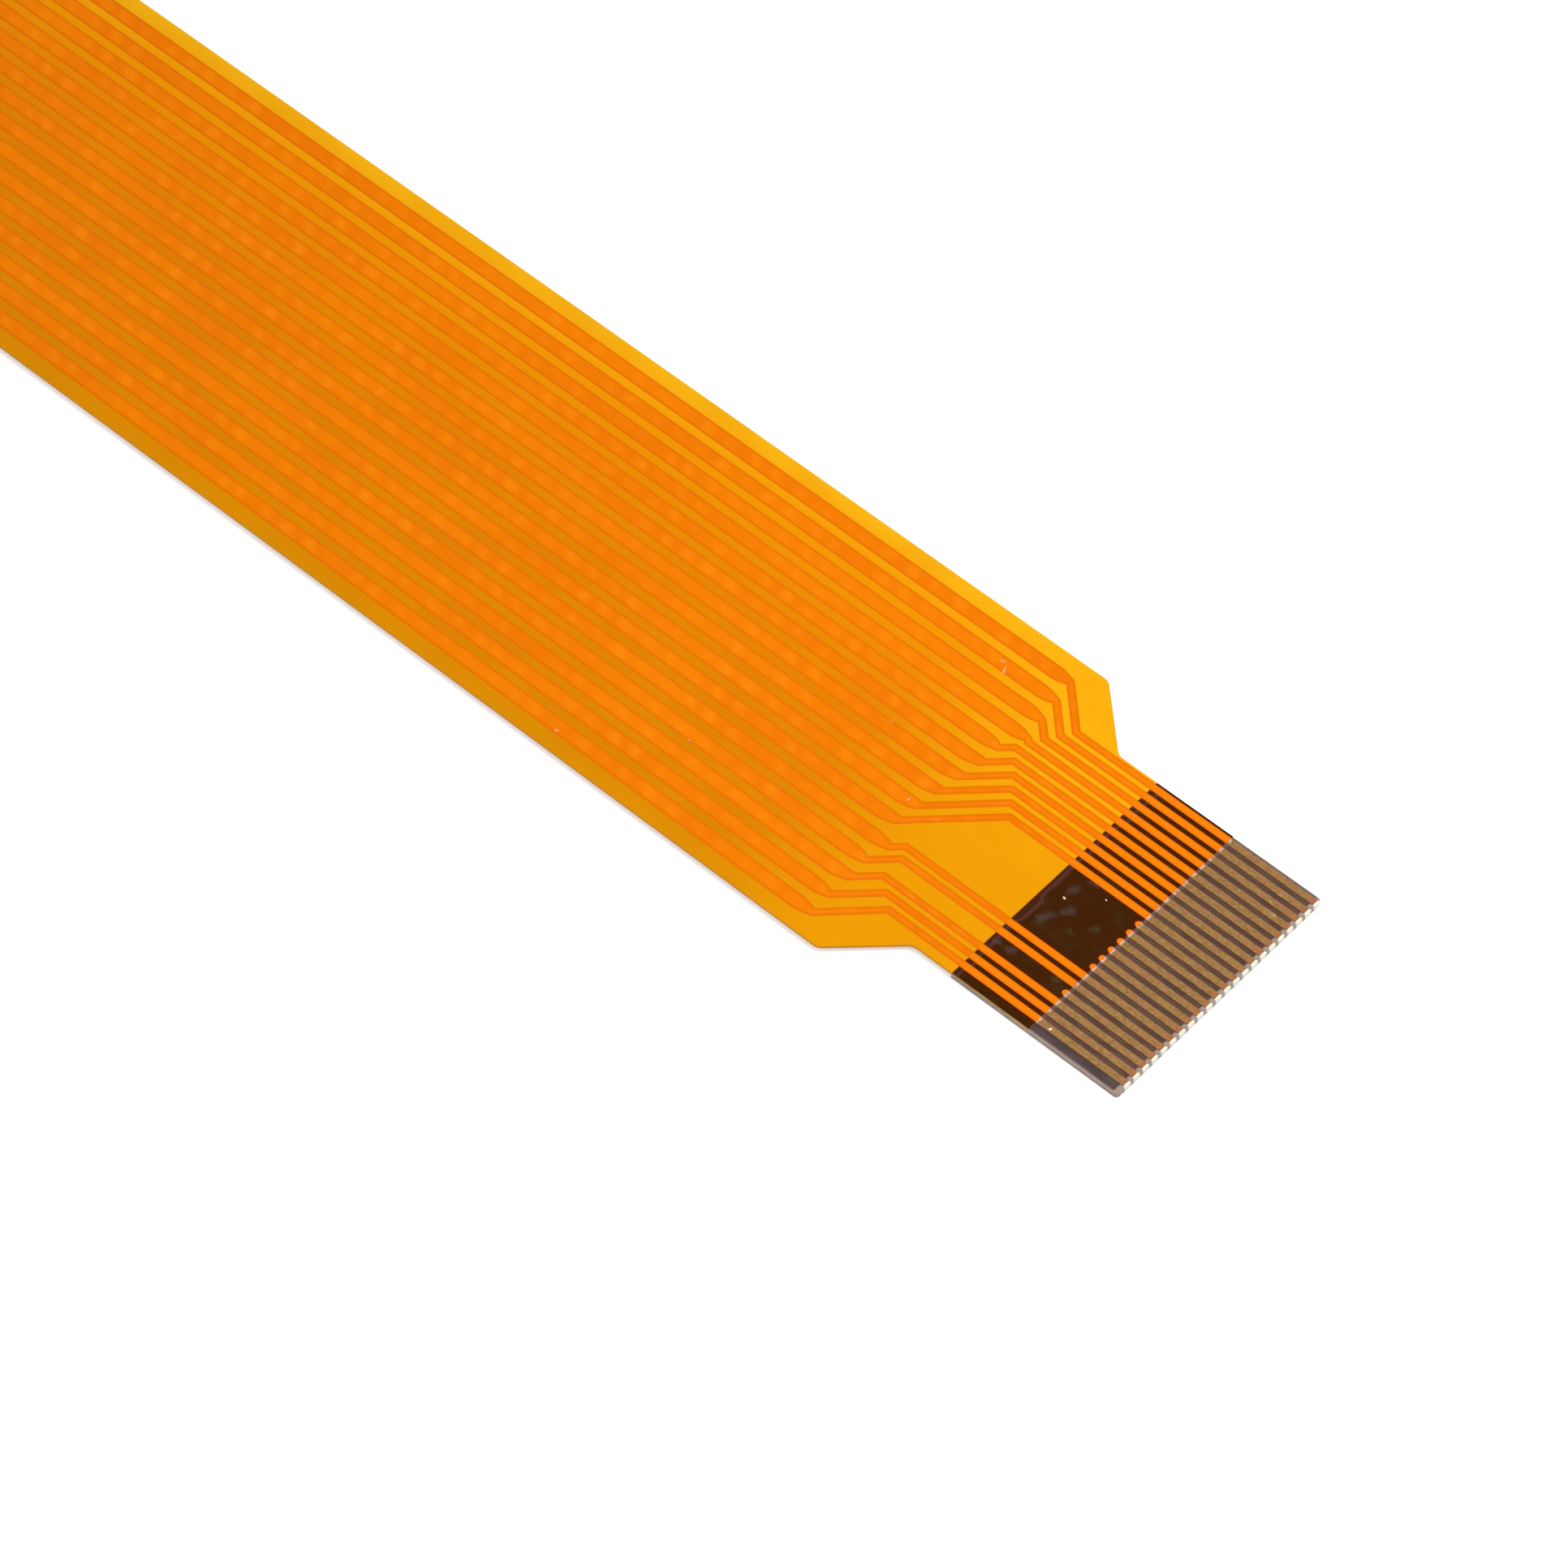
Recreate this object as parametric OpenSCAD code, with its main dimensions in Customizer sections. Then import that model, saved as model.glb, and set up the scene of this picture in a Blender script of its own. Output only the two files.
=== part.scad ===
// Flat flex cable: a flexible printed circuit that joins a narrow tail of
// 22 contacts (0.5 mm pitch) to a wide tail of 15 contacts (1.0 mm pitch).
// It lies flat, contacts up, on the stiffener plates under its two ends.
// +X runs towards the narrow end and +Y towards the side of contact 1.

/* [Outline] */
// Whole length of the cable, end to end
cable_l = 150; // [60:1:300]
// Distance from the narrow end to the foot of the sloping shoulders
shoulder_foot = 9.25; // [8.8:0.05:9.7]
// Length of the sloping shoulders along the cable
shoulder_l = 2.4; // [2.1:0.05:2.8]
// Radius of the bends in the outline at both ends of each shoulder
shoulder_r = 0.5; // [0.2:0.05:0.9]
// Radius of the four outer corners at the cable ends
corner_r = 0.15; // [0.05:0.01:0.25]

/* [Layers] */
// Thickness of the stiffener plates under both ends
stiffener_t = 0.2; // [0.1:0.01:0.3]
// Thickness of the base film with its adhesive
base_t = 0.06; // [0.03:0.005:0.1]
// Thickness of the copper
copper_t = 0.04; // [0.015:0.005:0.07]
// Thickness of the cover film over the copper
cover_t = 0.03; // [0.02:0.005:0.06]

/* [Narrow end] */
// Length of the stiffener under the narrow end
narrow_stiffener_l = 7.5; // [5:0.1:8.5]
// Bare length of the contacts at the narrow end
narrow_bare_l = 4; // [2:0.1:4.8]
// Pitch of the 22 contacts at the narrow end
narrow_pitch = 0.5; // [0.49:0.005:0.51]
// Width of the fine traces and of the narrow contacts
trace_w = 0.31; // [0.25:0.01:0.35]
// Distance from the middle of contact 1 to the edge beside it
first_margin = 0.25; // [0.22:0.01:0.5]
// Distance from the middle of contact 22 to the edge beside it
last_margin = 0.55; // [0.3:0.01:0.7]
// How far an idle contact reaches back under the cover film
idle_l = 0.18; // [0.05:0.01:0.5]

/* [Wide end] */
// Length of the stiffener under the wide end
wide_stiffener_l = 8; // [5:0.1:12]
// Bare length of the contacts at the wide end
wide_bare_l = 4; // [2:0.1:4.8]
// Pitch of the 15 conductors at the wide end
wide_pitch = 1; // [0.98:0.005:1.02]
// Width of the wide conductors
wide_w = 0.64; // [0.5:0.01:0.75]
// Distance from the middle of each outer wide conductor to the edge beside it
body_margin = 1; // [0.8:0.05:1.3]

/* [Fan of traces] */
// Gap between the tip of every conductor and the cable end
tip_gap = 0.05; // [0.02:0.01:0.1]
// Length over which a wide conductor narrows to a fine trace
neck_l = 0.8; // [0.5:0.05:1.2]
// Distance from the narrow end to the last bend of conductor 4
fan_a = 12; // [11.9:0.05:12.3]
// Shift of that bend on each of conductors 3, 2 and 1
fan_a_step = 0.33; // [0.28:0.01:0.38]
// Distance from the narrow end to the last bend of conductor 5
fan_b = 12.2; // [12.1:0.05:12.4]
// Shift of that bend on each of conductors 6 to 10
fan_b_step = 0.37; // [0.33:0.01:0.4]
// Distance from the narrow end to the last bend of conductor 11
fan_c = 12.2; // [12.1:0.05:12.4]
// Shift of that bend on conductor 12
fan_c_step = 0.25; // [0.2:0.01:0.3]
// Distance from the narrow end to the last bend of conductor 13
fan_d = 11.95; // [11.85:0.05:12.1]
// Shift of that bend on each of conductors 14 and 15
fan_d_step = 0.55; // [0.5:0.01:0.6]

/* [Hidden] */
conductors = [1:15];
idle_contacts = [11, 12, 13, 14, 15, 16, 19];
function two_digits(n) = str(n < 10 ? "0" : "", n);
function conductor_name(i) = str("conductor_", two_digits(i));
function idle_name(j) = str("idle_contact_", two_digits(j));

arc_steps = 6;
tip_steps = 10;
reach = 1;                                    // how far a cutting body runs past a face

// the two ends, and the two widths
x_end = cable_l / 2;
body_w = 14 * wide_pitch + 2 * body_margin;
tail_w = 21 * narrow_pitch + first_margin + last_margin;
contact_1_y = tail_w / 2 - first_margin;

// the levels of the layers
z_base = stiffener_t;
z_copper = z_base + base_t;
z_cover = z_copper + copper_t;
z_top = z_cover + cover_t;

// the outline's shoulders
foot_x = x_end - shoulder_foot;
head_x = foot_x - shoulder_l;
slope = atan2((body_w - tail_w) / 2, shoulder_l);
tangent_l = shoulder_r * tan(slope / 2);

// the conductors: all slanting stretches run at 45 degrees
wide_h = wide_w / 2;
trace_h = trace_w / 2;
miter = trace_h * tan(45 / 2);
neck_drop = wide_h - trace_h;
neck_r = (neck_l * neck_l + neck_drop * neck_drop) / (2 * neck_drop);

function wide_y(i) = wide_pitch * (8 - i);
function contact_y(j) = contact_1_y - narrow_pitch * (j - 1);
// the contact that each conductor runs to
function contact_of(i) = i <= 10 ? i : i <= 12 ? i + 6 : i + 7;
function bend_x(i) = x_end - (i <= 4 ? fan_a - fan_a_step * (4 - i)
                            : i <= 10 ? fan_b - fan_b_step * (i - 5)
                            : i <= 12 ? fan_c - fan_c_step * (i - 11)
                            : fan_d - fan_d_step * (i - 13));
// conductors that keep their full width on the upper side up to the slant
function keeps_edge(i) = (i >= 6 && i <= 10) || i == 13;

function arc(x, y, r, from, to, steps) =
    [for (k = [0:steps]) let (a = from + (to - from) * k / steps)
        [x + r * cos(a), y + r * sin(a)]];
function mirrored(points) = [for (k = [len(points) - 1:-1:0]) [points[k][0], -points[k][1]]];

// upper half of the film's outline, from the wide end to the narrow end
upper_edge = concat(
    arc(-x_end + corner_r, body_w / 2 - corner_r, corner_r, 180, 90, arc_steps),
    arc(head_x - tangent_l, body_w / 2 - shoulder_r, shoulder_r, 90, 90 - slope, arc_steps),
    arc(foot_x + tangent_l, tail_w / 2 + shoulder_r, shoulder_r, -90 - slope, -90, arc_steps),
    arc(x_end - corner_r, tail_w / 2 - corner_r, corner_r, 90, 0, arc_steps));

module outline() polygon(concat(upper_edge, mirrored(upper_edge)));

// the stretch of the film's outline between two places along the cable
module outline_between(x0, x1) {
    intersection() {
        outline();
        translate([x0, -body_w]) square([x1 - x0, 2 * body_w]);
    }
}

// half width of a conductor along its neck, where t runs from 0 to 1
function neck_half(t) = wide_h - neck_r + sqrt(neck_r * neck_r - pow(t * neck_l, 2));
function neck_side(x, y, side) =
    [for (k = [0:arc_steps - 1]) let (t = k / arc_steps)
        [x - neck_l * (1 - t), y + side * neck_half(t)]];
function reversed(points) = [for (k = [len(points) - 1:-1:0]) points[k]];

module conductor_outline(i) {
    y0 = wide_y(i);
    y1 = contact_y(contact_of(i));
    up = sign(y1 - y0);
    x1 = bend_x(i);
    x0 = x1 - abs(y1 - y0);
    edge_end = [[x0 - miter + neck_drop, y0 + wide_h]];
    upper = keeps_edge(i) ? edge_end
          : concat(neck_side(x0, y0, 1), [[x0 - up * miter, y0 + trace_h]]);
    lower = concat(neck_side(x0, y0, -1), [[x0 + up * miter, y0 - trace_h]]);
    polygon(concat(
        [[-x_end + tip_gap, y0 - wide_h], [-x_end + tip_gap, y0 + wide_h]],
        upper,
        [[x1 - up * miter, y1 + trace_h]],
        arc(x_end - tip_gap - trace_h, y1, trace_h, 90, -90, tip_steps),
        [[x1 + up * miter, y1 - trace_h]],
        reversed(lower)));
}

module idle_outline(j) {
    back = x_end - narrow_bare_l - idle_l + trace_h;
    polygon(concat(
        arc(back, contact_y(j), trace_h, 270, 90, tip_steps),
        arc(x_end - tip_gap - trace_h, contact_y(j), trace_h, 90, -90, tip_steps)));
}

// ---- the pieces ----
module narrow_stiffener() {
    color([0.13, 0.07, 0.04])
        linear_extrude(stiffener_t) outline_between(x_end - narrow_stiffener_l, x_end + reach);
}

module wide_stiffener() {
    color([0.13, 0.07, 0.04])
        linear_extrude(stiffener_t) outline_between(-x_end - reach, -x_end + wide_stiffener_l);
}

module base_film() {
    color([0.93, 0.6, 0.1])
        translate([0, 0, z_base]) linear_extrude(base_t) outline();
}

module cover_film() {
    color([1, 0.62, 0.12])
        difference() {
            translate([0, 0, z_copper]) linear_extrude(z_top - z_copper)
                outline_between(-x_end + wide_bare_l, x_end - narrow_bare_l);
            translate([0, 0, z_copper - reach]) linear_extrude(reach + copper_t) {
                for (i = conductors) conductor_outline(i);
                for (j = idle_contacts) idle_outline(j);
            }
        }
}

module conductor(i) {
    color([1, 0.49, 0.05])
        translate([0, 0, z_copper]) linear_extrude(copper_t) conductor_outline(i);
}

module idle_contact(j) {
    color([0.7, 0.5, 0.28])
        translate([0, 0, z_copper]) linear_extrude(copper_t) idle_outline(j);
}

base_film();
cover_film();
narrow_stiffener();
wide_stiffener();
for (i = conductors) conductor(i);
for (j = idle_contacts) idle_contact(j);
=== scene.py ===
import math
import bmesh
import bpy
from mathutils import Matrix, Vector


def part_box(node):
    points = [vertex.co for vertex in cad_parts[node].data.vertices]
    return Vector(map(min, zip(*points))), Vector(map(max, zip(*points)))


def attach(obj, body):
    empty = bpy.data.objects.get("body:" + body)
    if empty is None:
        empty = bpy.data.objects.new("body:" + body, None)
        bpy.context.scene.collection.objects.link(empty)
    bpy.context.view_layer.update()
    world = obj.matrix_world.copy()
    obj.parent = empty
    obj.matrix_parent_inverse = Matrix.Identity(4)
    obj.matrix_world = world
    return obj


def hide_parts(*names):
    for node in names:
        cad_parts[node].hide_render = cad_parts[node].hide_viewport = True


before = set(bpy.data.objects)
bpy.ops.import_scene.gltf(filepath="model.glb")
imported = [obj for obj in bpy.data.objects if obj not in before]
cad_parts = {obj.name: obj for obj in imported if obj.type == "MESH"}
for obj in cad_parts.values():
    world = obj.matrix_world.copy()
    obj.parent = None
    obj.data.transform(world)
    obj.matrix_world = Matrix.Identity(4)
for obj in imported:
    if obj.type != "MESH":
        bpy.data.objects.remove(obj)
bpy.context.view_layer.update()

mm = 0.001

# ---- stiffener plates -------------------------------------------------------------
# Two strips of brown glass-epoxy sheet, glued under the ends of the film so that the
# contacts can be pushed into a socket. They are cut out with the film in one stroke,
# which leaves a paler, slightly frayed edge all round.

narrow_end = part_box("narrow_stiffener")[1].x
wide_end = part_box("wide_stiffener")[0].x
narrow_plate_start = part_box("narrow_stiffener")[0].x
wide_plate_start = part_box("wide_stiffener")[1].x
plate_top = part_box("narrow_stiffener")[1].z


def paint(red, green, blue):
    """A colour as on a paint card, 0 to 255, for a shader's socket."""
    return tuple((c / 255) ** 2.2 for c in (red, green, blue)) + (1,)


def shade(tree, kind, inputs=(), **settings):
    """One shader node; its sockets are given by name or number, as values or as links."""
    made = tree.nodes.new("ShaderNode" + kind)
    for setting, value in settings.items():
        setattr(made, setting, value)
    for socket, value in dict(inputs).items():
        if isinstance(value, bpy.types.NodeSocket):
            tree.links.new(value, made.inputs[socket])
        else:
            made.inputs[socket].default_value = value
    return made


def sums(tree, operation, first, second=0.5, third=0.5, clamp=False):
    """The result of a Math node."""
    made = shade(tree, "Math", {0: first, 1: second, 2: third},
                 operation=operation, use_clamp=clamp)
    return made.outputs[0]


def mixed(tree, amount, first, second):
    """Two colours, mixed by amount."""
    made = shade(tree, "Mix", {"Factor": amount, 6: first, 7: second}, data_type="RGBA")
    return made.outputs[2]


def along(tree):
    """Place on the piece: the x, y and z of its Object coordinates, and all three."""
    place = shade(tree, "TexCoord").outputs["Object"]
    split = shade(tree, "SeparateXYZ", {0: place})
    return split.outputs[0], split.outputs[1], split.outputs[2], place


def effect(name, inputs, outputs):
    """An empty node group with named inputs and outputs, and its two end nodes."""
    group = bpy.data.node_groups.new(name, "ShaderNodeTree")
    for socket, value in inputs.items():
        made = group.interface.new_socket(name=socket, in_out="INPUT",
                                          socket_type="NodeSocketFloat")
        made.default_value = value
    for socket in outputs:
        group.interface.new_socket(name=socket, in_out="OUTPUT",
                                   socket_type="NodeSocketFloat")
    return group, group.nodes.new("NodeGroupInput"), group.nodes.new("NodeGroupOutput")


def use(tree, group, **values):
    """A node group placed in a material, with its own values."""
    made = shade(tree, "Group", node_tree=group)
    for socket, value in values.items():
        made.inputs[socket.replace("_", " ")].default_value = value
    return made


def finish(name, roughness, specular, metallic=0.0):
    """A new material, its tree and its Principled shader."""
    material = bpy.data.materials.new(name)
    material.use_nodes = True
    shader = material.node_tree.nodes["Principled BSDF"]
    shader.inputs["Roughness"].default_value = roughness
    shader.inputs["Specular IOR Level"].default_value = specular
    shader.inputs["Metallic"].default_value = metallic
    return material, material.node_tree, shader


def give(tree, shader, socket, value):
    """Leads a colour, value or normal into the shader."""
    tree.links.new(value, shader.inputs[socket])


def between(tree, mask, low, high):
    """A number that follows a mask, from low to high."""
    made = shade(tree, "MapRange", {"Value": mask, "To Min": low, "To Max": high})
    return made.outputs[0]


def step_at(tree, value, start, softness):
    """0 below start and 1 above it, over a width of softness."""
    made = shade(tree, "MapRange", {"Value": value, "From Min": start - softness / 2,
                                    "From Max": start + softness / 2},
                 interpolation_type="SMOOTHSTEP")
    return made.outputs[0]


# clouds: soft patches of lighter and darker, used on every surface of the cable
clouds, clouds_in, clouds_out = effect(
    "clouds", {"Size": 1 * mm, "Stretch": 1, "Detail": 3, "Low": 0.4, "High": 0.6}, ["Mask"])
clouds_place = along(clouds)
clouds_x = sums(clouds, "DIVIDE", clouds_place[0], clouds_in.outputs["Stretch"])
clouds_vector = shade(clouds, "CombineXYZ", {0: clouds_x, 1: clouds_place[1],
                                             2: clouds_place[2]})
clouds_scale = sums(clouds, "DIVIDE", 1.0, clouds_in.outputs["Size"])
clouds_noise = shade(clouds, "TexNoise", {"Vector": clouds_vector.outputs[0],
                                          "Scale": clouds_scale,
                                          "Detail": clouds_in.outputs["Detail"]})
clouds_range = shade(clouds, "MapRange", {"Value": clouds_noise.outputs[0],
                                          "From Min": clouds_in.outputs["Low"],
                                          "From Max": clouds_in.outputs["High"]},
                     interpolation_type="SMOOTHSTEP")
clouds.links.new(clouds_range.outputs[0], clouds_out.inputs["Mask"])

epoxy, tree, shader = finish("stiffener epoxy", 0.6, 0.3)
x, y, z, place = along(tree)
patches = use(tree, clouds, Size=0.9 * mm, Stretch=1.6).outputs[0]
sheet = mixed(tree, patches, paint(74, 48, 30), paint(60, 36, 20))
fibre = shade(tree, "TexWave", {"Vector": place, "Scale": 520, "Distortion": 2.5,
                                "Detail": 2, "Detail Scale": 1.5}, bands_direction="X")
weft = shade(tree, "TexWave", {"Vector": place, "Scale": 520, "Distortion": 2.5,
                               "Detail": 2, "Detail Scale": 1.5}, bands_direction="Y")
weave = sums(tree, "MULTIPLY", fibre.outputs["Fac"], weft.outputs["Fac"])
sheet = mixed(tree, sums(tree, "MULTIPLY", weave, 0.35), sheet, paint(104, 76, 52))
facing = shade(tree, "SeparateXYZ", {0: shade(tree, "NewGeometry").outputs["Normal"]})
upright = sums(tree, "SUBTRACT", 1.0, sums(tree, "ABSOLUTE", facing.outputs[2]), clamp=True)
height = step_at(tree, z, plate_top * 0.42, plate_top * 0.5)
fray = use(tree, clouds, Size=0.25 * mm, Stretch=3, Low=0.3, High=0.7).outputs[0]
low_wall = mixed(tree, fray, paint(108, 96, 88), paint(128, 114, 102))
high_wall = mixed(tree, fray, paint(176, 150, 138), paint(198, 174, 160))
wall = mixed(tree, height, low_wall, high_wall)
give(tree, shader, "Base Color", mixed(tree, upright, sheet, wall))
give(tree, shader, "Roughness", between(tree, weave, 0.68, 0.5))
bumps = shade(tree, "Bump", {"Height": weave, "Strength": 0.25, "Distance": 0.01 * mm})
give(tree, shader, "Normal", bumps.outputs[0])


def merged_copy(node):
    """A bmesh of a CAD node, its loose triangles joined and its flat faces made whole."""
    bm = bmesh.new()
    bm.from_mesh(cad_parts[node].data)
    bmesh.ops.remove_doubles(bm, verts=bm.verts, dist=0.001 * mm)
    bmesh.ops.dissolve_limit(bm, angle_limit=math.radians(0.3), verts=bm.verts,
                             edges=bm.edges)
    return bm


def piece_of(bm, name, materials, stands_for):
    """The finished piece of a bmesh, in place of its CAD nodes."""
    mesh = bpy.data.meshes.new(name)
    bm.to_mesh(mesh)
    bm.free()
    for material in materials:
        mesh.materials.append(material)
    piece = bpy.data.objects.new(name, mesh)
    bpy.context.scene.collection.objects.link(piece)
    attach(piece, "root")
    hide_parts(*stands_for)
    return piece


for end in ("narrow", "wide"):
    bm = merged_copy(end + "_stiffener")
    lower = [e for e in bm.edges if max(v.co.z for v in e.verts) < plate_top / 2]
    bmesh.ops.bevel(bm, geom=lower, offset=0.02 * mm, segments=2, profile=0.5,
                    affect="EDGES", material=-1)
    piece_of(bm, end + "_stiffener_plate", [epoxy],
                           [end + "_stiffener"])

# ---- base film --------------------------------------------------------------------
# One piece of amber polyimide film with its adhesive, 0.06 mm thick, that carries the
# copper. It is transparent, so the traces on its upper side show through its back,
# and over the dark stiffeners it looks dark itself. Its outline is die-cut.

film_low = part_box("base_film")[0]
film_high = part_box("base_film")[1]
cover_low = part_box("cover_film")[0]
cover_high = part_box("cover_film")[1]
copper_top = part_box("conductor_08")[1].z

# plates_under: 1 where a stiffener lies under the film
plates_under, plates_in, plates_out = effect("plates_under", {"Softness": 0.04 * mm}, ["Mask"])
x = along(plates_under)[0]
past_narrow = sums(plates_under, "DIVIDE",
                   sums(plates_under, "SUBTRACT", x, narrow_plate_start),
                   plates_in.outputs[0], clamp=True)
past_wide = sums(plates_under, "DIVIDE",
                 sums(plates_under, "SUBTRACT", wide_plate_start, x),
                 plates_in.outputs[0], clamp=True)
plates_under.links.new(sums(plates_under, "MAXIMUM", past_narrow, past_wide),
                       plates_out.inputs["Mask"])

# the faint weave that the laminating press leaves in the film, with painted sheen on its lighter
# spots
weave_and_sheen, pad_in, pad_out = effect("weave_and_sheen", {"Spacing": 1.1 * mm}, ["Mask"])
x, y, z, place = along(weave_and_sheen)
turn = sums(weave_and_sheen, "DIVIDE", 2 * math.pi, pad_in.outputs[0])
drift = shade(weave_and_sheen, "TexNoise", {"Vector": place, "Scale": 420, "Detail": 1})
wander = sums(weave_and_sheen, "MULTIPLY", drift.outputs[0], 0.9 * mm)
slanted = sums(weave_and_sheen, "ADD", sums(weave_and_sheen, "MULTIPLY", y, 0.45), x)
warp = sums(weave_and_sheen, "SINE", sums(weave_and_sheen, "MULTIPLY",
                                    sums(weave_and_sheen, "ADD", slanted, wander), turn))
across = sums(weave_and_sheen, "COSINE", sums(weave_and_sheen, "MULTIPLY",
                                        sums(weave_and_sheen, "ADD", y, 0.0), 2 * math.pi / mm))
spots = sums(weave_and_sheen, "MULTIPLY", sums(weave_and_sheen, "MULTIPLY_ADD", warp, 0.5, 0.5),
             sums(weave_and_sheen, "MULTIPLY_ADD", across, 0.35, 0.65))
uneven = shade(weave_and_sheen, "TexNoise", {"Vector": place, "Scale": 900, "Detail": 2})
patchy = shade(weave_and_sheen, "MapRange", {"Value": uneven.outputs[0], "From Min": 0.35,
                                       "From Max": 0.65})
weave_and_sheen.links.new(sums(weave_and_sheen, "MULTIPLY", spots, patchy.outputs[0]),
                    pad_out.inputs["Mask"])


# mark: a small oval spot or stroke, such as a speck of dust, a bubble or a scratch
mark, mark_in, mark_out = effect("mark", {"X": 0, "Y": 0, "Length": mm, "Width": mm,
                                          "Turn": 0, "Core": 0.5}, ["Mask"])
x, y, z, place = along(mark)
wobble = shade(mark, "TexNoise", {"Vector": place, "Scale": 3 / mm, "Detail": 1})
wobble = sums(mark, "MULTIPLY", sums(mark, "SUBTRACT", wobble.outputs[0], 0.5),
              mark_in.outputs["Width"])
away_x = sums(mark, "ADD", sums(mark, "SUBTRACT", x, mark_in.outputs["X"]), wobble)
away_y = sums(mark, "ADD", sums(mark, "SUBTRACT", y, mark_in.outputs["Y"]), wobble)
cosine = sums(mark, "COSINE", mark_in.outputs["Turn"])
sine = sums(mark, "SINE", mark_in.outputs["Turn"])
lengthwise = sums(mark, "ADD", sums(mark, "MULTIPLY", away_x, cosine),
                  sums(mark, "MULTIPLY", away_y, sine))
sideways = sums(mark, "SUBTRACT", sums(mark, "MULTIPLY", away_y, cosine),
                sums(mark, "MULTIPLY", away_x, sine))
oval = shade(mark, "CombineXYZ", {
    0: sums(mark, "DIVIDE", lengthwise, mark_in.outputs["Length"]),
    1: sums(mark, "DIVIDE", sideways, mark_in.outputs["Width"])})
off_centre = shade(mark, "VectorMath", {0: oval.outputs[0]}, operation="LENGTH")
core = sums(mark, "MULTIPLY", mark_in.outputs["Core"], 0.5)
soft_oval = shade(mark, "MapRange", {"Value": off_centre.outputs["Value"], "From Min": 0.5,
                                     "From Max": core}, interpolation_type="SMOOTHSTEP")
on_top = step_at(mark, z, film_high.z + 0.02 * mm, 0.01 * mm)
mark.links.new(sums(mark, "MULTIPLY", soft_oval.outputs[0], on_top), mark_out.inputs["Mask"])


def marked(tree, colour, tint, strength, spots, core=0.5):
    """The colour with marks on it, each at x and y, so long and wide, in mm, and turned."""
    for at_x, at_y, length, width, turn in spots:
        spot = use(tree, mark, X=at_x * mm, Y=at_y * mm, Length=length * mm,
                   Width=width * mm, Turn=math.radians(turn), Core=core).outputs[0]
        colour = mixed(tree, sums(tree, "MULTIPLY", spot, strength), colour, tint)
    return colour


def rim(tree):
    """1 on the outline of the copper under the film, and 0 a little way off it."""
    return shade(tree, "Attribute", attribute_name="rim").outputs["Fac"]


def skin(tree, shader, dents):
    """The film's fine orange-peel skin."""
    grain = use(tree, clouds, Size=0.35 * mm, Stretch=1.5, Detail=2, Low=0.2, High=0.8)
    bumps = shade(tree, "Bump", {"Height": grain.outputs[0], "Strength": 0.15,
                                 "Distance": dents})
    give(tree, shader, "Normal", bumps.outputs[0])


film_on_copper, tree, shader = finish("film over copper", 0.42, 0.03)
x, y, z, place = along(tree)
spots = use(tree, weave_and_sheen).outputs[0]
patches = use(tree, clouds, Size=3 * mm, Stretch=2).outputs[0]
trace = mixed(tree, patches, paint(246, 124, 0), paint(250, 130, 2))
# painted sheen: the lighter spots of the weave
trace = mixed(tree, spots, trace, paint(255, 138, 16))
# painted shade: the film over the copper is painted darker along the copper's rim
trace = mixed(tree, rim(tree), trace, paint(232, 112, 0))
plated = mixed(tree, rim(tree), paint(255, 134, 14), paint(238, 112, 4))
colour = mixed(tree, use(tree, plates_under).outputs[0], trace, plated)
edge_glint = step_at(tree, sums(tree, "ABSOLUTE", x), cover_high.x - 0.03 * mm, 0.03 * mm)
colour = mixed(tree, sums(tree, "MULTIPLY", edge_glint, 0.4), colour, paint(240, 160, 110))
colour = marked(tree, colour, paint(255, 176, 140), 0.8, [
    (59.97, 6.07, 0.32, 0.09, 14), (60.3, 5.75, 0.55, 0.1, -75), (61.52, -0.97, 0.22, 0.09, 80),
    (59.69, 4.36, 0.12, 0.08, 0), (58.84, 1.32, 0.2, 0.07, 70), (50.36, -7.21, 0.12, 0.12, 0),
    (59.15, -5.63, 0.1, 0.08, 30), (54.13, -4.28, 0.1, 0.08, 0)])
give(tree, shader, "Base Color", colour)
give(tree, shader, "Roughness", between(tree, spots, 0.46, 0.38))
skin(tree, shader, 0.01 * mm)

film_on_film, tree, shader = finish("film over film", 0.38, 0.03)
x, y, z, place = along(tree)
# painted light: the clear film is painted lighter towards its +y edge and darker towards its -y edge
light_across = shade(tree, "ValToRGB", {"Fac": shade(tree, "MapRange", {
    "Value": y, "From Min": film_low.y, "From Max": film_high.y}).outputs[0]})
light_across.color_ramp.elements[0].color = paint(222, 142, 2)
light_across.color_ramp.elements[1].color = paint(254, 184, 26)
for at, tint in ((0.1, paint(224, 132, 0)), (0.5, paint(230, 130, 0)),
                 (0.72, paint(238, 138, 0)), (0.88, paint(248, 154, 6))):
    light_across.color_ramp.elements.new(at).color = tint
fanned = step_at(tree, x, narrow_plate_start - 7 * mm, 6 * mm)
upper = step_at(tree, y, 2 * mm, 8 * mm)
open_film = mixed(tree, upper, paint(242, 158, 8), paint(255, 178, 20))
clear = mixed(tree, fanned, light_across.outputs[0], open_film)
patches = use(tree, clouds, Size=2.5 * mm, Stretch=1.5).outputs[0]
clear = mixed(tree, sums(tree, "MULTIPLY", patches, 0.25), clear, paint(240, 150, 6))
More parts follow.
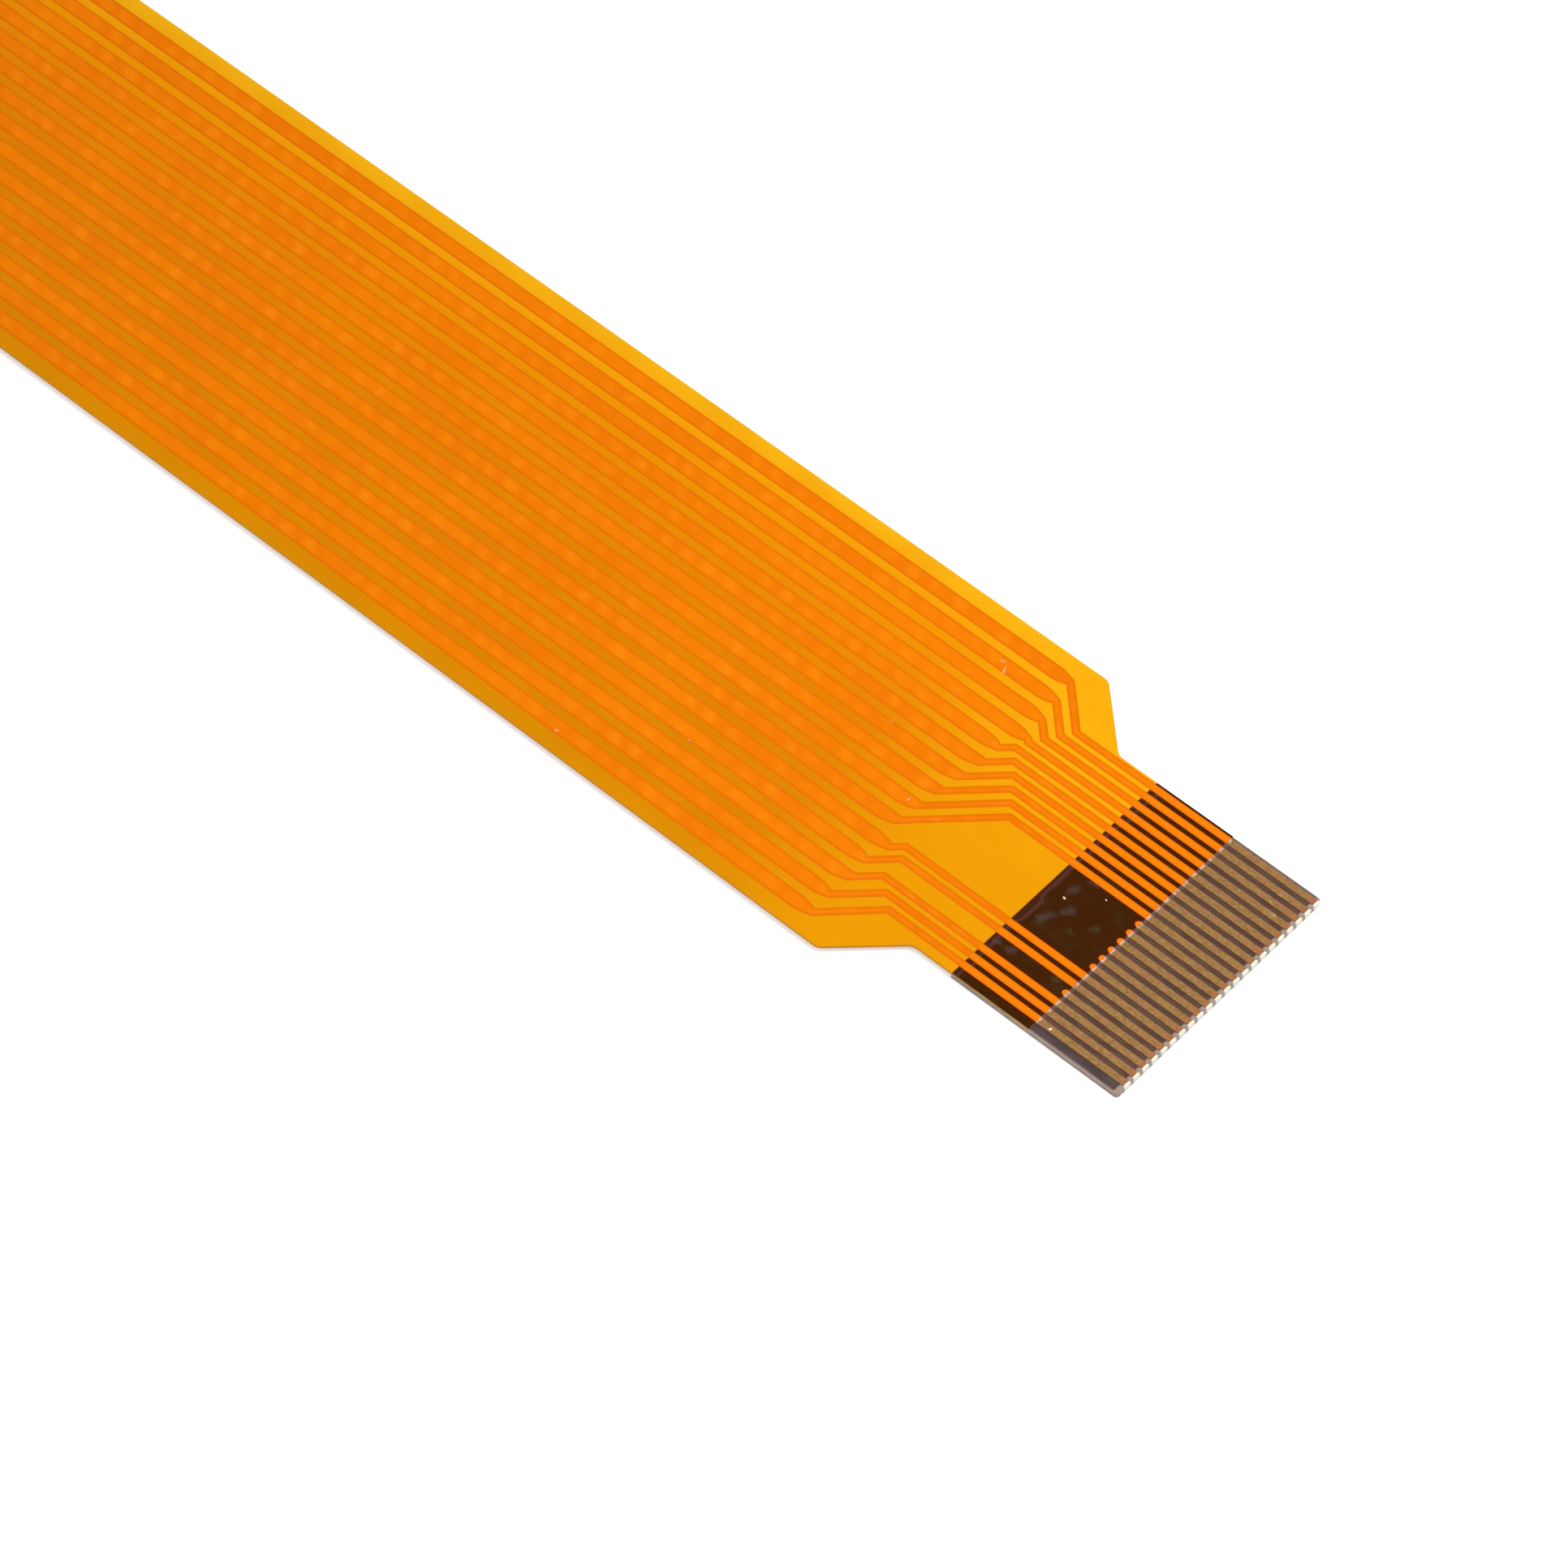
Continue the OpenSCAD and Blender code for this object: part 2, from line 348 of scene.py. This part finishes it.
# painted shade: the clear film is painted darker close to the copper's rim
clear = mixed(tree, sums(tree, "MULTIPLY", rim(tree), 0.5), clear, paint(232, 122, 0))
over_plate = mixed(tree, rim(tree), paint(66, 35, 0), paint(104, 28, 0))
haze = use(tree, clouds, Size=0.5 * mm, Stretch=1.4, Detail=0, Low=0.5, High=0.8).outputs[0]
over_plate = mixed(tree, sums(tree, "MULTIPLY", haze, 0.3), over_plate, paint(72, 54, 28))
from_edge = sums(tree, "MAXIMUM", sums(tree, "SUBTRACT", x, narrow_plate_start),
                 sums(tree, "SUBTRACT", wide_plate_start, x))
waves = use(tree, clouds, Size=0.7 * mm, Detail=0, Low=0.3, High=0.7).outputs[0]
from_edge = sums(tree, "SUBTRACT", from_edge, sums(tree, "MULTIPLY", waves, 0.16 * mm))
level = step_at(tree, from_edge, 0.24 * mm, 0.2 * mm)
over_plate = mixed(tree, level, paint(72, 38, 20), over_plate)
crest = sums(tree, "MULTIPLY", step_at(tree, from_edge, 0.14 * mm, 0.16 * mm),
             sums(tree, "SUBTRACT", 1.0, level))
over_plate = mixed(tree, crest, over_plate, paint(94, 56, 50))
over_plate = marked(tree, over_plate, paint(98, 84, 84), 0.38, [
    (68.37, 0.02, 0.8, 0.5, 70), (68.8, -0.84, 0.9, 0.6, 60), (68.35, -1.63, 1.2, 0.6, 70),
    (68.75, 0.7, 0.6, 0.35, 0), (68.4, -3.5, 0.7, 0.5, 30), (67.8, -3.54, 0.5, 0.4, 0)], core=0)
over_plate = marked(tree, over_plate, paint(80, 78, 50), 0.4, [
    (69.98, -0.79, 0.7, 0.5, 70), (69.43, -1.5, 0.6, 0.5, -30), (70.4, -3.35, 0.7, 0.45, 20)], core=0)
over_plate = marked(tree, over_plate, paint(255, 240, 214), 1.0, [
    (68.33, -0.5, 0.16, 0.09, -25), (69.48, 0.44, 0.12, 0.05, -25)])
give(tree, shader, "Base Color",
     mixed(tree, use(tree, plates_under).outputs[0], clear, over_plate))
give(tree, shader, "Roughness", between(tree, patches, 0.42, 0.34))
skin(tree, shader, 0.01 * mm)

bare_film, tree, shader = finish("bare film", 0.5, 0.3)
x, y, z, place = along(tree)
patches = use(tree, clouds, Size=0.3 * mm, Stretch=4).outputs[0]
bare = mixed(tree, patches, paint(75, 47, 34), paint(88, 59, 42))
edge_glint = step_at(tree, sums(tree, "ABSOLUTE", x), cover_high.x + 0.1 * mm, 0.1 * mm)
bare = mixed(tree, edge_glint, paint(102, 78, 76), bare)
margin = step_at(tree, y, -5.16 * mm, 0.05 * mm)
bare = mixed(tree, margin, mixed(tree, patches, paint(62, 46, 45), paint(76, 58, 56)), bare)
bare = mixed(tree, step_at(tree, y, -5.6 * mm, 0.1 * mm), paint(150, 128, 120), bare)
bare = mixed(tree, step_at(tree, y, 5.57 * mm, 0.03 * mm), bare, paint(112, 92, 88))
cut = step_at(tree, sums(tree, "ABSOLUTE", x), narrow_end - 0.2 * mm, 0.08 * mm)
give(tree, shader, "Base Color", mixed(tree, cut, bare, paint(160, 142, 130)))
give(tree, shader, "Roughness", between(tree, patches, 0.56, 0.44))
skin(tree, shader, 0.01 * mm)

film_wall, tree, shader = finish("film cut edge", 0.5, 0.2)
x, y, z, place = along(tree)
fray = use(tree, clouds, Size=0.3 * mm, Stretch=4).outputs[0]
lit = mixed(tree, step_at(tree, y, 0, 1 * mm), paint(222, 146, 8), paint(250, 176, 24))
dull = mixed(tree, fray, paint(160, 132, 58), paint(192, 164, 88))
grey = mixed(tree, fray, paint(176, 150, 140), paint(196, 172, 160))
wall = mixed(tree, use(tree, plates_under).outputs[0], lit, dull)
beyond = step_at(tree, sums(tree, "ABSOLUTE", x), cover_high.x, 0.04 * mm)
give(tree, shader, "Base Color", mixed(tree, beyond, wall, grey))
give(tree, shader, "Roughness", between(tree, fray, 0.45, 0.6))


def region_map():
    """The cover film's underside laid flat: material 1 where it lies on copper, else 0."""
    bm = bmesh.new()
    bm.from_mesh(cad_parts["cover_film"].data)
    bmesh.ops.remove_doubles(bm, verts=bm.verts, dist=0.001 * mm)
    bm.normal_update()
    others = [f for f in bm.faces if f.normal.z > -0.9]
    bmesh.ops.delete(bm, geom=others, context="FACES")
    for f in bm.faces:
        f.material_index = int(f.calc_center_median().z > copper_top - 0.01 * mm)
    bmesh.ops.scale(bm, vec=(1, 1, 0), verts=bm.verts)
    bmesh.ops.remove_doubles(bm, verts=bm.verts, dist=0.001 * mm)
    bmesh.ops.dissolve_limit(bm, angle_limit=math.radians(0.3), verts=bm.verts,
                             edges=bm.edges, delimit={"MATERIAL"})
    return bm


def swell(bm, height):
    """Lets the film bulge over each trace, and marks the rim of the copper, along which the film
    materials paint shade.
    """
    mark = bm.verts.layers.float.new("rim")
    for v in bm.verts:
        v[mark] = float(any(f.material_index == 1 for f in v.link_faces))
    gaps = [f for f in bm.faces if f.material_index == 0]
    traces = [f for f in bm.faces if f.material_index == 1 and f.calc_area() > mm * mm]
    stubs = [f for f in bm.faces if f.material_index == 1 and f.calc_area() <= mm * mm]
    for share, shadow in ((0.55, 0.6), (0.33, 0.2), (0.12, 0.0)):
        slopes = bmesh.ops.inset_individual(bm, faces=traces, thickness=0.045 * mm,
                                            depth=height * share, use_even_offset=True)
        for f in slopes["faces"]:
            f.smooth = True
        for f in traces:
            for v in f.verts:
                v[mark] = shadow
    slopes = bmesh.ops.inset_individual(bm, faces=stubs, thickness=0.022 * mm, depth=height,
                                        use_even_offset=True)
    for f in slopes["faces"]:
        f.smooth = True
        f.material_index = int(f.calc_center_median().x > cover_high.x - 0.02 * mm)
    for f in stubs:
        for v in f.verts:
            v[mark] = 0.3
    bmesh.ops.inset_individual(bm, faces=gaps, thickness=0.04 * mm, use_even_offset=True)
    for f in gaps:
        for v in f.verts:
            v[mark] = 0


bm = region_map()
bmesh.ops.translate(bm, vec=(0, 0, film_low.z), verts=bm.verts)
for end, reach in ((cover_high.x, narrow_end - cover_high.x), (cover_low.x, wide_end - cover_low.x)):
    last = [e for e in bm.edges if all(abs(v.co.x - end) < 0.001 * mm for v in e.verts)]
    grown = bmesh.ops.extrude_edge_only(bm, edges=last)["geom"]
    bmesh.ops.translate(bm, vec=(reach, 0, 0),
                        verts=[v for v in grown if isinstance(v, bmesh.types.BMVert)])
outline = [e for e in bm.edges if e.is_boundary]
grown = bmesh.ops.extrude_edge_only(bm, edges=outline)["geom"]
bmesh.ops.translate(bm, vec=(0, 0, film_high.z - film_low.z),
                    verts=[v for v in grown if isinstance(v, bmesh.types.BMVert)])
for f in grown:
    if isinstance(f, bmesh.types.BMFace):
        f.material_index = 3
top_loop = [e for e in grown if isinstance(e, bmesh.types.BMEdge) and e.is_boundary]
for f in bmesh.ops.contextual_create(bm, geom=top_loop)["faces"]:
    f.material_index = 2
corners = [e for e in bm.edges if abs(e.verts[0].co.z - e.verts[1].co.z) > 0.01 * mm
           and abs(abs(e.verts[0].co.x) - narrow_end) < 0.001 * mm
           and len([f for f in e.link_faces if abs(f.normal.x) > 0.9]) < 2
           and abs(e.verts[0].co.y) > 5 * mm]
bmesh.ops.bevel(bm, geom=corners, offset=0.15 * mm, segments=6, profile=0.5,
                affect="EDGES", material=-1)
bmesh.ops.recalc_face_normals(bm, faces=bm.faces)
swell(bm, 0.004 * mm)
base = piece_of(bm, "base_film_sheet", [film_on_film, film_on_copper, bare_film, film_wall],
                ["base_film"])

# ---- conductors and contacts ------------------------------------------------------
# Rolled copper, 0.04 mm thick, etched into 15 conductors and 7 short idle contacts.
# The bare ends are plated with dull gold. Where the cable is cut off, each contact ends
# in a small rounded tip, painted cream: a painted highlight.

gilt, tree, shader = finish("gold plating", 0.45, 0.4, 0.35)
x, y, z, place = along(tree)
patches = use(tree, clouds, Size=0.17 * mm, Stretch=1.6, Low=0.4, High=0.6).outputs[0]
tan = mixed(tree, patches, paint(128, 94, 38), paint(134, 92, 58))
grains = use(tree, clouds, Size=0.09 * mm, Stretch=1.3, Detail=2, Low=0.35, High=0.65).outputs[0]
tan = mixed(tree, sums(tree, "MULTIPLY", grains, 0.7), tan, paint(164, 122, 64))
rosy = use(tree, clouds, Size=0.5 * mm, Stretch=1.5, Detail=2, Low=0.5, High=0.7).outputs[0]
tan = mixed(tree, sums(tree, "MULTIPLY", rosy, 0.45), tan, paint(152, 98, 64))
tan = marked(tree, tan, paint(255, 236, 208), 0.9, [
    (71.57, -5.12, 0.15, 0.11, 60), (74.06, 4.68, 0.13, 0.05, -30)])
tan = marked(tree, tan, paint(206, 160, 108), 0.6, [
    (73.78, 4.72, 0.34, 0.26, 30), (74.17, 3.94, 0.34, 0.26, 0), (73.74, 4.36, 0.3, 0.22, 0)], core=0)
far = sums(tree, "ABSOLUTE", x)
glint = sums(tree, "SUBTRACT", 1.0, step_at(tree, far, cover_high.x + 0.08 * mm, 0.1 * mm))
broken = use(tree, clouds, Size=0.12 * mm, Detail=1, Low=0.3, High=0.6).outputs[0]
glint = sums(tree, "MULTIPLY", glint, sums(tree, "MULTIPLY", broken, 0.75))
tan = mixed(tree, glint, tan, paint(236, 196, 170))
worn = step_at(tree, far, narrow_end - 0.3 * mm, 0.24 * mm)
tan = mixed(tree, sums(tree, "MULTIPLY", worn, 0.4), tan, paint(172, 90, 52))
copper = mixed(tree, step_at(tree, far, cover_high.x - 0.05 * mm, 0.04 * mm),
               paint(214, 118, 70), tan)
# painted shade: the upright sides of the contacts are painted darker than their tops
facing = shade(tree, "SeparateXYZ", {0: shade(tree, "NewGeometry").outputs["Normal"]})
upright = sums(tree, "SUBTRACT", 1.0, sums(tree, "ABSOLUTE", facing.outputs[2]), clamp=True)
give(tree, shader, "Base Color", mixed(tree, sums(tree, "MULTIPLY", upright, 0.8), copper,
                                       paint(88, 64, 52)))
brushed = use(tree, clouds, Size=0.06 * mm, Stretch=8, Detail=3, Low=0.2, High=0.8).outputs[0]
bumps = shade(tree, "Bump", {"Height": brushed, "Strength": 0.2, "Distance": 0.006 * mm})
give(tree, shader, "Normal", bumps.outputs[0])
give(tree, shader, "Roughness", between(tree, grains, 0.5, 0.38))

# painted highlight: the cream tips stand for the glint of light on the rounded contact ends
tip_highlight, tree, shader = finish("painted tip highlight", 0.3, 0.5)
tip_highlight_patches = use(tree, clouds, Size=0.2 * mm, Low=0.3, High=0.7).outputs[0]
give(tree, shader, "Base Color", mixed(tree, tip_highlight_patches, paint(255, 250, 224), paint(255, 253, 236)))

idle = ["idle_contact_%02d" % j for j in (11, 12, 13, 14, 15, 16, 19)]
for node in ["conductor_%02d" % i for i in range(1, 16)] + idle:
    low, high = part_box(node)
    bm = merged_copy(node)
    shoulders = [e for e in bm.edges if min(v.co.z for v in e.verts) > high.z - 0.001 * mm]
    bmesh.ops.bevel(bm, geom=shoulders, offset=0.032 * mm, segments=3, profile=0.5,
                    affect="EDGES", material=-1)
    for f in bm.faces:
        f.smooth = abs(f.normal.z) < 0.99
    tips = [(high.x, [v.co.y for v in bm.verts if v.co.x > high.x - 0.001 * mm], 1)]
    if node.startswith("conductor"):
        tips.append((low.x, [v.co.y for v in bm.verts if v.co.x < low.x + 0.001 * mm], -1))
    for end, sides, out in tips:
        middle = (min(sides) + max(sides)) / 2
        broad = max(sides) - min(sides) if out < 0 else 0.31 * mm
        pad = bmesh.ops.create_cube(bm, size=1)["verts"]
        bmesh.ops.scale(bm, vec=(0.1 * mm, broad + 0.05 * mm, 0.26 * mm), verts=pad)
        bmesh.ops.translate(bm, vec=(end + out * 0.02 * mm, middle, high.z - 0.12 * mm), verts=pad)
        lengthwise = {e for v in pad for e in v.link_edges
                      if abs(e.verts[0].co.x - e.verts[1].co.x) > 0.05 * mm}
        grown = bmesh.ops.bevel(bm, geom=list(lengthwise), offset=0.09 * mm, segments=4,
                                profile=0.5, affect="EDGES", material=-1)
        oval = {f for v in grown["verts"] for f in v.link_faces}
        for f in oval:
            f.material_index = 1
            f.smooth = True
        rounded = [e for f in oval if abs(f.normal.x) > 0.9 for e in f.edges]
        bmesh.ops.bevel(bm, geom=rounded, offset=0.04 * mm, segments=3, profile=0.5,
                        affect="EDGES", material=-1)
    piece_of(bm, node + "_strip", [gilt, tip_highlight], [node])

# ---- cover film -------------------------------------------------------------------
# A second amber film, laminated over the copper between the two rows of contacts. Its
# adhesive fills the gaps between the traces, so its top swells a little over each one.
# It too is transparent: the traces, the clear gaps and the dark plates show through.

bm = region_map()
bmesh.ops.reverse_faces(bm, faces=bm.faces)
swollen = 0.018 * mm
bmesh.ops.translate(bm, vec=(0, 0, cover_high.z - swollen), verts=bm.verts)
swell(bm, swollen)
outline = [e for e in bm.edges if e.is_boundary]
grown = bmesh.ops.extrude_edge_only(bm, edges=outline)["geom"]
bmesh.ops.translate(bm, vec=(0, 0, film_high.z + 0.001 * mm - (cover_high.z - swollen)),
                    verts=[v for v in grown if isinstance(v, bmesh.types.BMVert)])
for f in grown:
    if isinstance(f, bmesh.types.BMFace):
        f.material_index = 2
under_loop = [e for e in grown if isinstance(e, bmesh.types.BMEdge) and e.is_boundary]
for f in bmesh.ops.contextual_create(bm, geom=under_loop)["faces"]:
    f.material_index = 0
bmesh.ops.recalc_face_normals(bm, faces=bm.faces)
piece_of(bm, "cover_film_sheet", [film_on_film, film_on_copper, film_wall],
         ["cover_film"])

# ---- table, light and camera ------------------------------------------------------
# A plain pale table under soft, even studio light.

bm = bmesh.new()
bmesh.ops.create_grid(bm, x_segments=1, y_segments=1, size=3)
mesh = bpy.data.meshes.new("table")
bm.to_mesh(mesh)
bm.free()
table = bpy.data.objects.new("table", mesh)
bpy.context.scene.collection.objects.link(table)
table.location.z = -0.0002 * mm

white, tree, shader = finish("pale table", 0.9, 0.1)
shader.inputs["Base Color"].default_value = (0.8, 0.8, 0.8, 1)
seen = shade(tree, "LightPath")
direct = sums(tree, "MAXIMUM", seen.outputs["Is Camera Ray"], seen.outputs["Is Glossy Ray"])
direct = sums(tree, "MAXIMUM", direct, seen.outputs["Is Transmission Ray"])
give(tree, shader, "Emission Strength", sums(tree, "MULTIPLY", direct, 0.45))
shader.inputs["Emission Color"].default_value = (1, 1, 1, 1)
mesh.materials.append(white)

world = bpy.data.worlds.new("studio")
bpy.context.scene.world = world
world.use_nodes = True
tree = world.node_tree
seen = shade(tree, "LightPath")
direct = sums(tree, "MAXIMUM", seen.outputs["Is Camera Ray"], seen.outputs["Is Glossy Ray"])
direct = sums(tree, "MAXIMUM", direct, seen.outputs["Is Transmission Ray"])
tree.links.new(sums(tree, "MULTIPLY_ADD", direct, 0.6, 0.4),
               tree.nodes["Background"].inputs["Strength"])
tree.nodes["Background"].inputs["Color"].default_value = (1, 1, 1, 1)


def soft_box(name, place, target, size, power, spread=180):
    """A square studio lamp at place, turned to target; a grid narrows its spread."""
    lamp = bpy.data.lights.new(name, "AREA")
    lamp.size = size
    lamp.energy = power
    lamp.spread = math.radians(spread)
    holder = bpy.data.objects.new(name, lamp)
    bpy.context.scene.collection.objects.link(holder)
    holder.location = place
    holder.rotation_euler = (Vector(target) - Vector(place)).to_track_quat("-Z", "Y").to_euler()
    holder.visible_camera = False
    return holder


soft_box("key lamp", (0.09, 0.02, 0.12), (0.056, 0.0, 0.0), 0.09, 0.099)
soft_box("wide end lamp", (-0.09, 0.0, 0.12), (-0.085, 0.0, 0.0), 0.09, 0.007, spread=70)
soft_box("fill lamp", (0.05, -0.45, 0.35), (0.0, 0.0, 0.0), 0.4, 0.5)

# the camera looks down along the cable from beyond the narrow end
eye = Vector((150.013, -123.010, 200.768)) * mm
aim = Vector((57.861, -3.464, 0.33)) * mm
lens = bpy.data.cameras.new("camera")
lens.lens = 162.72
lens.sensor_width = 36
lens.clip_start = 0.01
lens.clip_end = 10
camera = bpy.data.objects.new("camera", lens)
bpy.context.scene.collection.objects.link(camera)
turned = (aim - eye).to_track_quat("-Z", "Y").to_matrix().to_4x4()
camera.rotation_euler = turned.to_euler()
camera.rotation_euler.rotate_axis("Z", math.radians(4.334))
camera.location = eye
bpy.context.scene.camera = camera

bpy.context.scene.view_settings.view_transform = "Standard"
